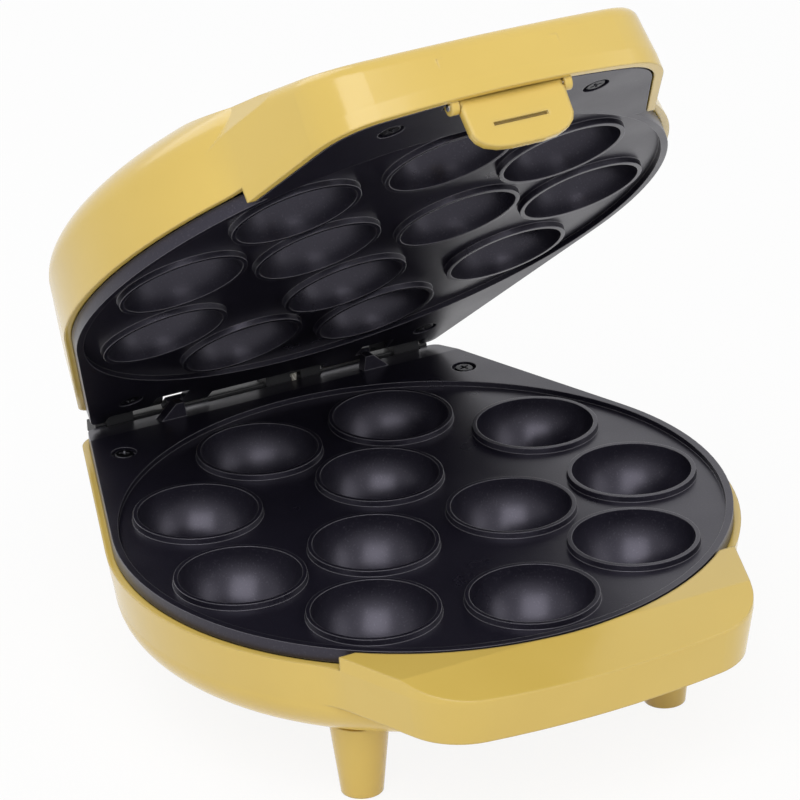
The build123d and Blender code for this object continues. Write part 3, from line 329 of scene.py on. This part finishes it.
def makeMoulding(name, look):
    material, tree, shader = startFinish(name, {"IOR": 1.48})
    space = objectSpace(tree)
    tint = between(tree, noise(tree, space, look["mottleScale"], 5.0), look["low"], look["high"])
    normal = softNormal(tree, mouldingEdgeLightAndWear["edgeRadius"])
    # paler edge colour: painted highlight and wear along the edges
    edgeLightAndWear = edgeShare(tree, normal, mouldingEdgeLightAndWear["amount"])
    paler = tuple(min(1.0, mouldingEdgeLightAndWear["lift"] + mouldingEdgeLightAndWear["gain"] * tone) for tone in look["high"])
    tree.links.new(blendColours(tree, edgeLightAndWear, tint, paler), shader.inputs["Base Color"])
    rough = remap(tree, noise(tree, space, look["mottleScale"] * 3.0, 3.0),
                  look["roughLow"], look["roughHigh"])
    tree.links.new(rough, shader.inputs["Roughness"])
    emboss(tree, shader, noise(tree, space, look["grainScale"], 2.0), 0.6, look["grainDepth"], normal)
    return material


# Woven glass sleeving on the inner leads
sleeveLook = {
    "low": (0.52, 0.49, 0.42),
    "high": (0.80, 0.77, 0.70),
    "plaitScale": 330.0,
    "lean": 0.6,
    "cross": 0.785,
    "plaitStrength": 0.7,
    "plaitDepth": 0.0002,
}


def makeSleeve(look):
    material, tree, shader = startFinish("leadSleeve", {"Sheen Weight": 0.3, "Sheen Roughness": 0.5})
    lean, cross = look["lean"], look["cross"]
    first = waves(tree, objectSpace(tree, turn=(lean, 0.0, cross)), look["plaitScale"])
    second = waves(tree, objectSpace(tree, turn=(0.0, lean, -cross)), look["plaitScale"])
    plait = addNode(tree, "ShaderNodeMath", operation="MULTIPLY")
    tree.links.new(first, plait.inputs[0])
    tree.links.new(second, plait.inputs[1])
    colour = between(tree, plait.outputs[0], look["low"], look["high"], 0.1, 0.6)
    tree.links.new(colour, shader.inputs["Base Color"])
    tree.links.new(remap(tree, plait.outputs[0], 0.85, 0.65, 0.0, 1.0), shader.inputs["Roughness"])
    emboss(tree, shader, plait.outputs[0], look["plaitStrength"], look["plaitDepth"])
    return material


# Ribbed indicator lenses, deeper in colour between the ribs
lensFields = ("deep", "rib")
lensRibs = {"scale": 260.0, "strength": 0.25, "depth": 0.00012, "roughScale": 300.0}
lenses = {
    "lensRed": ((0.42, 0.012, 0.008), (0.75, 0.045, 0.025)),
    "lensGreen": ((0.010, 0.26, 0.045), (0.045, 0.52, 0.12)),
}


def makeLens(name, look):
    material, tree, shader = startFinish(name, {
        "Transmission Weight": 0.35, "IOR": 1.49, "Coat Weight": 0.4, "Coat Roughness": 0.05,
    })
    space = objectSpace(tree)
    ribs = waves(tree, space, lensRibs["scale"])
    tree.links.new(between(tree, ribs, look["deep"], look["rib"], 0.2, 0.8), shader.inputs["Base Color"])
    rough = remap(tree, noise(tree, space, lensRibs["roughScale"]), 0.10, 0.22)
    tree.links.new(rough, shader.inputs["Roughness"])
    emboss(tree, shader, ribs, lensRibs["strength"], lensRibs["depth"])
    return material


finishes = {
    "shellYellow": makeShell("shellYellow", shellLook, shellLook["edgeRadius"]),
    "latchYellow": makeShell("latchYellow", shellLook, shellLook["latchEdgeRadius"]),
    "nonStickCoating": makeCoating(coatingLook),
}
for name, row in metals.items():
    finishes[name] = makeMetal(name, named(metalFields, row))
finishes["shieldSheet"] = makeSpangle(spangleLook)
for name, row in mouldings.items():
    finishes[name] = makeMoulding(name, named(mouldingFields, row))
finishes["leadSleeve"] = makeSleeve(sleeveLook)
for name, row in lenses.items():
    finishes[name] = makeLens(name, named(lensFields, row))
print("materials made:", len(finishes))

# Which finish each node wears
nodeFinish = {
    "shellYellow": ["base_housing", "lid_housing"],
    "latchYellow": ["latch"],
    "nonStickCoating": ["lower_plate", "upper_plate"],
    "elementSheath": ["lower_heating_element", "upper_heating_element"],
    "pressedSteel": ["lower_element_clamps", "upper_element_clamps"],
    "screwSteel": ["lower_clamp_screws", "upper_clamp_screws", "shield_screws_lower",
                   "shield_screws_upper", "thermostat_screw"],
    "shieldSheet": ["lower_heat_shield", "upper_heat_shield"],
    "darkScrew": ["lower_plate_screws", "upper_plate_screws"],
    "thermostatCase": ["thermostat"],
    "fuseCase": ["thermal_fuse"],
    "blockPlastic": ["terminal_block", "lid_terminal_block"],
    "leadSleeve": ["base_leads", "lid_leads", "base_hinge_lead", "lid_hinge_lead"],
    "darkPlastic": ["base_hinge_ears", "lid_hinge_ears", "base_conduit_ear", "lid_conduit_ear",
                    "cord_gland", "lamp_holders"],
    "padRubber": ["foot_pads"],
    "pinSteel": ["hinge_pins", "latch_pin"],
    "washerPlastic": ["hinge_washers"],
    "lensRed": ["power_lamp_lens"],
    "lensGreen": ["ready_lamp_lens"],
}
dressed = []
for finish, names in nodeFinish.items():
    for name in names:
        nodes[name].data.materials.clear()
        nodes[name].data.materials.append(finishes[finish])
        dressed.append(name)
print("nodes without a finish:", sorted(set(nodes) - set(dressed)))

# Hinge line and rest angle, as the frame has them, for pieces drawn with the lid closed
hinge = {"point": Vector((0.0, 0.115444, 0.0683)), "angle": math.radians(-42.0)}
ringBack = 0.004556  # the ring of cups is centred this far in front of the origin
mergeReach = 0.000001


def openWithLid(mesh):
    bmesh.ops.rotate(mesh, verts=mesh.verts, cent=hinge["point"],
                     matrix=Matrix.Rotation(hinge["angle"], 3, "X"))


def addBlock(mesh, across, along, upwards):
    corners = bmesh.ops.create_cube(mesh, size=1.0)["verts"]
    spans = (across, along, upwards)
    bmesh.ops.scale(mesh, verts=corners, vec=[high - low for low, high in spans])
    middle = Vector([(low + high) / 2 for low, high in spans])
    bmesh.ops.translate(mesh, verts=corners, vec=middle - Vector((0.0, ringBack, 0.0)))


def roundEdges(mesh, edges, radius):
    bmesh.ops.bevel(mesh, geom=edges, offset=radius, offset_type="OFFSET",
                    segments=4, profile=0.5, affect="EDGES", material=-1)


def finishPiece(mesh, name, finish, body):
    bmesh.ops.remove_doubles(mesh, verts=mesh.verts, dist=mergeReach)
    bmesh.ops.recalc_face_normals(mesh, faces=mesh.faces)
    data = bpy.data.meshes.new(name)
    mesh.to_mesh(data)
    mesh.free()
    piece = bpy.data.objects.new(name, data)
    bpy.context.scene.collection.objects.link(piece)
    data.materials.append(finishes[finish])
    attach(piece, body)
    return piece


# Plate screws with crossed recesses, sunk in both plates. Their profile runs from the flat of the head
# over its rounded rim and down the shank, as radius and depth.
screwLook = {
    "lower": [(0.0670, 0.0924), (-0.0670, 0.0924)],
    "lid": [(0.0360, -0.1165), (-0.0360, -0.1165), (0.0580, 0.1040), (-0.0580, 0.1040)],
    "lowerTop": 0.0618,
    "lidTop": 0.0627,
    "profile": [
        (0.002747, 0.0),
        (0.00310411, 0.00012),
        (0.00335, 0.00046),
        (0.00335, 0.00132),
        (0.00142, 0.00132),
        (0.00142, 0.0107),
        (0.000497, 0.0119),
    ],
    "segments": 40,
    "crossReach": 0.0019,
    "crossHalf": 0.00042,
    "crossDepth": 0.0010,
    "crossTaper": 0.72,
    "lowerTurns": [0.3, 1.1],
    "lidTurns": [0.55, 0.9, 0.2, 1.3],
}


def pull(mesh, edges, factor, drop):
    made = bmesh.ops.extrude_edge_only(mesh, edges=edges)
    points = [item for item in made["geom"] if isinstance(item, bmesh.types.BMVert)]
    for point in points:
        point.co.x *= factor
        point.co.y *= factor
        point.co.z -= drop
    return [item for item in made["geom"] if isinstance(item, bmesh.types.BMEdge)]


def crossCorners(reach, half):
    corners = []
    for quarter in range(4):
        spin = Matrix.Rotation(quarter * math.pi / 2, 3, "Z")
        for x, y in ((half, half), (reach, half), (reach, -half)):
            corners.append(spin @ Vector((x, y, 0.0)))
    return sorted(corners, key=lambda corner: math.atan2(corner.y, corner.x))


def addScrew(mesh, look, turn):
    screw = bmesh.new()
    bmesh.ops.create_circle(screw, segments=look["segments"], radius=look["profile"][0][0])
    edges = list(screw.edges)
    points = [screw.verts.new(corner) for corner in crossCorners(look["crossReach"], look["crossHalf"])]
    cross = [screw.edges.new((points[i - 1], points[i])) for i in range(len(points))]
    bmesh.ops.triangle_fill(screw, use_beauty=True, edges=edges + cross)
    recess = pull(screw, cross, look["crossTaper"], look["crossDepth"])
    bmesh.ops.edgeloop_fill(screw, edges=recess)
    for (radius, depth), (nextRadius, nextDepth) in zip(look["profile"], look["profile"][1:]):
        edges = pull(screw, edges, nextRadius / radius, nextDepth - depth)
    bmesh.ops.edgeloop_fill(screw, edges=edges)
    bmesh.ops.recalc_face_normals(screw, faces=screw.faces)
    bmesh.ops.rotate(screw, verts=screw.verts, cent=(0, 0, 0), matrix=Matrix.Rotation(turn, 3, "Z"))
    data = bpy.data.meshes.new("oneScrew")
    screw.to_mesh(data)
    screw.free()
    mesh.from_mesh(data)
    bpy.data.meshes.remove(data)


def placeScrews(look, places, turns, top, tilt):
    mesh = bmesh.new()
    for (x, y), turn in zip(places, turns):
        first = len(mesh.verts)
        addScrew(mesh, look, turn)
        added = mesh.verts[first:]
        bmesh.ops.rotate(mesh, verts=added, cent=(0, 0, 0), matrix=Matrix.Rotation(tilt, 3, "X"))
        bmesh.ops.translate(mesh, verts=added, vec=(x, y - ringBack, top))
    return mesh


def makeScrews(look):
    lower = placeScrews(look, look["lower"], look["lowerTurns"], look["lowerTop"], 0.0)
    piece = finishPiece(lower, "lowerPlateScrewsCrossed", "darkScrew", "base")
    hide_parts("lower_plate_screws")
    lid = placeScrews(look, look["lid"], look["lidTurns"], look["lidTop"], math.pi)
    openWithLid(lid)
    piece = finishPiece(lid, "lidPlateScrewsCrossed", "darkScrew", "lid")
    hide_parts("upper_plate_screws")


makeScrews(screwLook)
print("plate screws made")

# Dark inlay on the floor of the finger mark cut into the latch: painted shadow in the groove
markLook = {
    "width": 0.0186,
    "height": 0.00095,
    "depth": 0.0003,
    "front": -0.12980,
    "middle": 0.0530,
    "roundShare": 0.45,
}


def makeLatchMark(look):
    width, height, depth = look["width"], look["height"], look["depth"]
    mark = bmesh.new()
    addBlock(mark, (-width / 2, width / 2), (look["front"], look["front"] + depth),
             (look["middle"] - height / 2, look["middle"] + height / 2))
    ends = [edge for edge in mark.edges if abs(edge.verts[0].co.y - edge.verts[1].co.y) > depth / 2]
    roundEdges(mark, ends, height * look["roundShare"])
    openWithLid(mark)
    finishPiece(mark, "latchMarkShadowInlay", "paintedGrooveShadow", "latch")


makeLatchMark(markLook)
print("latch mark made")

# Dark plastic filler on the rear wall, up to the plate's level, with blocks behind the hinge ears: painted
# shade that closes the light gap between the halves at the hinge. Each row is left, right, front, back and
# top.
hingeShadeFillerLook = {
    "blocks": [
        (-0.0660, 0.0660, 0.1187, 0.1210, 0.0618),
        (-0.0660, -0.0340, 0.1209, 0.1263, 0.0614),
        (-0.0270, 0.0270, 0.1209, 0.1263, 0.0606),
        (0.0340, 0.0660, 0.1209, 0.1263, 0.0614),
    ],
    "foot": 0.0570,
    "round": 0.0005,
}


def makeHingeShadeFiller(look):
    foot = look["foot"]
    shadeFiller = bmesh.new()
    for left, right, front, back, top in look["blocks"]:
        addBlock(shadeFiller, (left, right), (front, back), (foot, top))
    upper = [edge for edge in shadeFiller.edges
             if edge.verts[0].co.x != edge.verts[1].co.x and edge.verts[0].co.z > foot + look["round"]]
    roundEdges(shadeFiller, upper, look["round"])
    finishPiece(shadeFiller, "hingeGapShadeFiller", "darkPlastic", "base")


# the dark filler at the hinge stands for painted shade, not for a part of the appliance
makeHingeShadeFiller(hingeShadeFillerLook)
print("hinge sill made")

# Studio: pale floor that runs out of view, soft lamps and an even world. Camera, glossy and
# transmission rays see the world white, and the floor mostly so.
studio = {
    "floorTone": 0.95,
    "floorSize": 9.0,
    "floorGlow": 0.90,
    "world": 0.40,
    "lamps": [
        ("key", (-0.80, -1.20, 1.90), 1.9, 34.0),  # name, place, size and power
        ("fill", (1.45, -0.90, 0.85), 1.2, 4.0),
        ("rear", (-0.30, 1.35, 1.25), 1.2, 6.0),
    ],
    "lampAim": (0.0, 0.0, 0.10),
}
white = (1.0, 1.0, 1.0, 1.0)


def whereSeen(tree):
    path = addNode(tree, "ShaderNodeLightPath")
    total = path.outputs["Is Camera Ray"]
    for kind in ("Is Glossy Ray", "Is Transmission Ray"):
        plus = addNode(tree, "ShaderNodeMath", operation="ADD", use_clamp=True)
        tree.links.new(total, plus.inputs[0])
        tree.links.new(path.outputs[kind], plus.inputs[1])
        total = plus.outputs[0]
    return total


def makeWorld(strength):
    world = bpy.data.worlds.new("studioWorld")
    tree, output = startTree(world, "ShaderNodeOutputWorld")
    room = addNode(tree, "ShaderNodeBackground", {"Color": white, "Strength": strength})
    backdrop = addNode(tree, "ShaderNodeBackground", {"Color": white, "Strength": 1.0})
    pick = addNode(tree, "ShaderNodeMixShader")
    tree.links.new(whereSeen(tree), pick.inputs[0])
    tree.links.new(room.outputs[0], pick.inputs[1])
    tree.links.new(backdrop.outputs[0], pick.inputs[2])
    tree.links.new(pick.outputs[0], output.inputs[0])
    bpy.context.scene.world = world


def makeFloor(size, tone, glowShare):
    ground = bmesh.new()
    bmesh.ops.create_grid(ground, x_segments=8, y_segments=8, size=size / 2)
    data = bpy.data.meshes.new("floor")
    ground.to_mesh(data)
    ground.free()
    floor = bpy.data.objects.new("floor", data)
    bpy.context.scene.collection.objects.link(floor)
    material = bpy.data.materials.new("floorPale")
    tree, output = startTree(material, "ShaderNodeOutputMaterial")
    matt = addNode(tree, "ShaderNodeBsdfDiffuse", {"Color": (tone, tone, tone, 1.0)})
    glow = addNode(tree, "ShaderNodeEmission", {"Color": white, "Strength": 1.0})
    share = addNode(tree, "ShaderNodeMath", {1: glowShare}, operation="MULTIPLY")
    tree.links.new(whereSeen(tree), share.inputs[0])
    pick = addNode(tree, "ShaderNodeMixShader")
    tree.links.new(share.outputs[0], pick.inputs[0])
    tree.links.new(matt.outputs[0], pick.inputs[1])
    tree.links.new(glow.outputs[0], pick.inputs[2])
    tree.links.new(pick.outputs[0], output.inputs[0])
    data.materials.append(material)


def addLamp(name, spot, size, power, aim):
    lamp = bpy.data.lights.new(name, "AREA")
    lamp.size = size
    lamp.energy = power
    holder = bpy.data.objects.new(name, lamp)
    ahead = Vector(aim) - Vector(spot)
    holder.matrix_world = Matrix.Translation(spot) @ ahead.to_track_quat("-Z", "Y").to_matrix().to_4x4()
    bpy.context.scene.collection.objects.link(holder)


def makeStudio(look):
    makeWorld(look["world"])
    makeFloor(look["floorSize"], look["floorTone"], look["floorGlow"])
    for name, spot, size, power in look["lamps"]:
        addLamp(name, spot, size, power, look["lampAim"])


makeStudio(studio)
print("studio lit")
